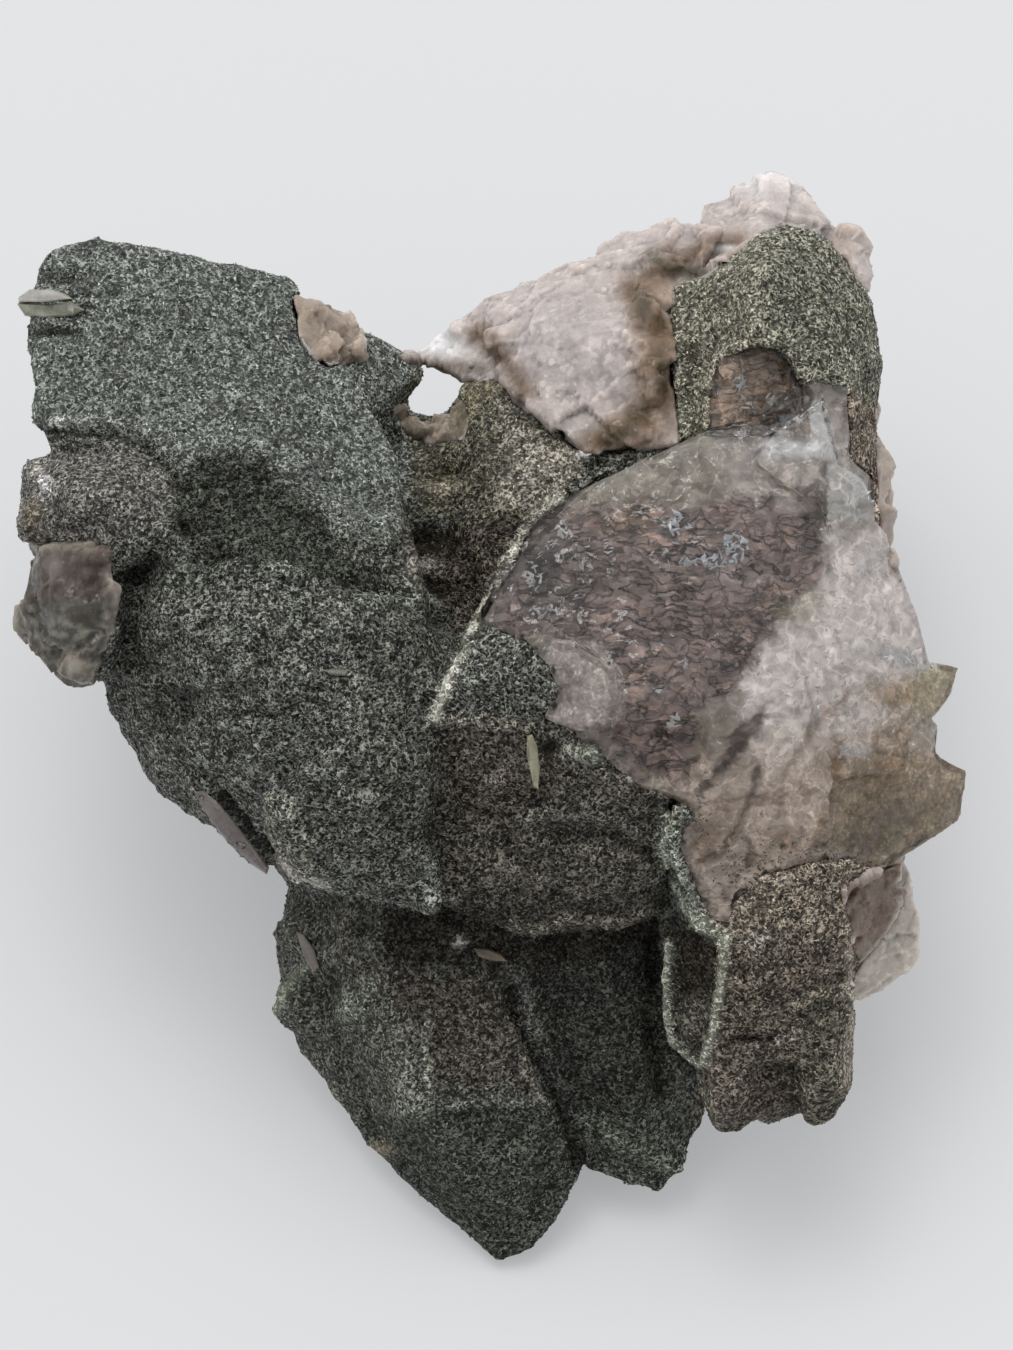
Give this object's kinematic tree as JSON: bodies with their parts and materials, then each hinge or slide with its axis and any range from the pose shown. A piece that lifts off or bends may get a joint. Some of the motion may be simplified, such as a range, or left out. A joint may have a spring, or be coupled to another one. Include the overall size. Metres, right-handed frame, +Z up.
{
  "type": "chlorite quartz crystal cluster",
  "caption": "Hand-sized cluster of quartz crystals under a green chlorite crust, with a clear smoky broken crystal and a milky ledge.",
  "frame": {"origin": "middle of the bounding box, on the floor that the flat broken root rests on", "axes": "+Z up; -Y towards the low front, where the long crystal points reach out; +Y to the high back with the milky peak; +X to the right"},
  "size_m": [0.061, 0.065, 0.0365],
  "materials": {
    "chlorite_crust": "sandy, sparkling, rough",
    "milky_quartz": "broken, glassy",
    "smoky_quartz": "fractured, glassy",
    "clear_quartz": "polished fracture"
  },
  "bodies": {
    "root": {"quartz_cluster": "chlorite_crust"}
  },
  "joints": []
}
